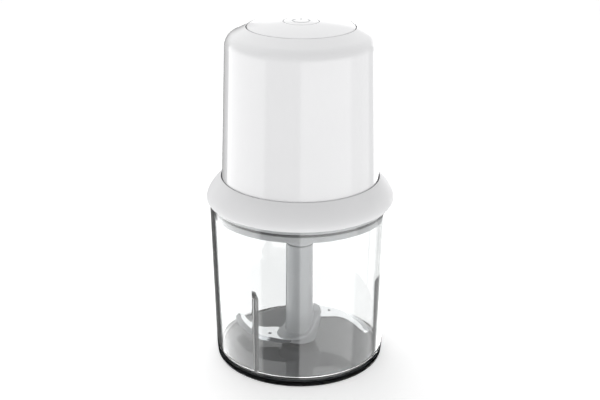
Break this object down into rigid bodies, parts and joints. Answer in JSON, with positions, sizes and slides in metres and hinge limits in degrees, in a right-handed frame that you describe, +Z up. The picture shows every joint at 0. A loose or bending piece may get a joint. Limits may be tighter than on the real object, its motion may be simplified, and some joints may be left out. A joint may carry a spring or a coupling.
{
  "type": "food processor",
  "caption": "Press-top food chopper: clear bowl with sickle blades on a pin, clip-on lid and a white motor head with a push button.",
  "frame": {"origin": "centre of the base, on the surface that the object stands on", "axes": "+Z up along the blade shaft; -Y is the front"},
  "size_m": [0.1284, 0.1284, 0.2385],
  "materials": {
    "clear_plastic": "clear, polished",
    "white_gloss": "gloss moulded",
    "white_satin": "satin moulded",
    "grey_plastic": "moulded",
    "dark_plastic": "moulded",
    "black_rubber": "matt moulded",
    "grey_rubber": "matt moulded",
    "blade_steel": "polished and ground",
    "plain_steel": "turned",
    "lamination_steel": "stamped stack",
    "copper": "enamelled wire",
    "bearing_bronze": "sintered",
    "nylon": "moulded nylon",
    "carbon": "pressed carbon",
    "circuit_board": "solder mask"
  },
  "bodies": {
    "bowl": {"bowl": "clear_plastic", "pivot_pin": "plain_steel", "anti_slip_ring": "black_rubber", "base_pad": "grey_rubber"},
    "pivot_bush": {"pivot_bush": "nylon"},
    "blade_unit": {"blade_shaft": "white_satin", "blade_high": "blade_steel", "blade_low": "blade_steel", "drive_socket": "dark_plastic"},
    "lid": {"lid_collar": "white_satin", "lid_plate": "white_gloss", "lid_seal": "grey_rubber", "neck_seal": "grey_rubber"},
    "motor_head": {"motor_housing": "white_gloss", "head_base": "white_satin", "housing_screw_1": "plain_steel", "housing_screw_2": "plain_steel", "housing_screw_3": "plain_steel", "cord_gland": "white_satin", "ring_gear": "nylon", "output_bearing": "bearing_bronze", "gear_case": "grey_plastic", "gear_cover": "grey_plastic", "lower_bearing": "bearing_bronze", "upper_bearing": "bearing_bronze", "stator_core": "lamination_steel", "field_coil_1": "copper", "field_coil_2": "copper", "motor_bolt_1": "plain_steel", "motor_bolt_2": "plain_steel", "upper_frame": "plain_steel", "brush_holder_1": "bearing_bronze", "brush_holder_2": "bearing_bronze", "carbon_brush_1": "carbon", "carbon_brush_2": "carbon", "switch_bracket": "grey_plastic", "microswitch": "dark_plastic", "control_board": "circuit_board", "button_spring": "plain_steel"},
    "rotor": {"motor_shaft": "plain_steel", "rotor_core": "lamination_steel", "rotor_windings": "copper", "commutator": "copper", "cooling_fan": "dark_plastic", "sun_gear": "bearing_bronze"},
    "planet_carrier": {"planet_carrier": "plain_steel", "drive_coupling": "dark_plastic"},
    "planet_1": {"planet_gear_1": "nylon"},
    "planet_2": {"planet_gear_2": "nylon"},
    "planet_3": {"planet_gear_3": "nylon"},
    "button": {"button_cap": "white_gloss", "button_badge": "white_gloss", "button_stem": "white_satin"}
  },
  "joints": [
    {"name": "lid_lift", "type": "slide", "parent": "bowl", "child": "lid", "axis": [0, 0, 1], "range_m": [0, 0.2]},
    {"name": "blade_lift", "type": "slide", "parent": "bowl", "child": "pivot_bush", "axis": [0, 0, 1], "range_m": [0, 0.125]},
    {"name": "blade_spin", "type": "hinge", "parent": "pivot_bush", "child": "blade_unit", "pos_m": [0, 0, 0.02], "axis": [0, 0, 1], "continuous": true},
    {"name": "head_lift", "type": "slide", "parent": "lid", "child": "motor_head", "axis": [0, 0, 1], "range_m": [0, 0.08]},
    {"name": "rotor_spin", "type": "hinge", "parent": "motor_head", "child": "rotor", "pos_m": [0, 0, 0.177], "axis": [0, 0, 1], "continuous": true},
    {"name": "carrier_spin", "type": "hinge", "parent": "motor_head", "child": "planet_carrier", "pos_m": [0, 0, 0.132], "axis": [0, 0, 1], "continuous": true},
    {"name": "planet_1_spin", "type": "hinge", "parent": "planet_carrier", "child": "planet_1", "pos_m": [0.015, 0, 0.132], "axis": [0, 0, 1], "continuous": true},
    {"name": "planet_2_spin", "type": "hinge", "parent": "planet_carrier", "child": "planet_2", "pos_m": [-0.0075, 0.01299, 0.132], "axis": [0, 0, 1], "continuous": true},
    {"name": "planet_3_spin", "type": "hinge", "parent": "planet_carrier", "child": "planet_3", "pos_m": [-0.0075, -0.01299, 0.132], "axis": [0, 0, 1], "continuous": true},
    {"name": "button_press", "type": "slide", "parent": "motor_head", "child": "button", "axis": [0, 0, 1], "range_m": [-0.003, 0], "stiffness_N_per_m": 600, "springref_m": 0.002, "deforming": ["button_spring"]}
  ],
  "couplings": [
    {"joint": "blade_lift", "follows": "lid_lift", "ratio": 0.625},
    {"joint": "blade_spin", "follows": "rotor_spin", "ratio": 0.2},
    {"joint": "carrier_spin", "follows": "rotor_spin", "ratio": 0.2},
    {"joint": "planet_1_spin", "follows": "rotor_spin", "ratio": -0.53333},
    {"joint": "planet_2_spin", "follows": "rotor_spin", "ratio": -0.53333},
    {"joint": "planet_3_spin", "follows": "rotor_spin", "ratio": -0.53333}
  ]
}
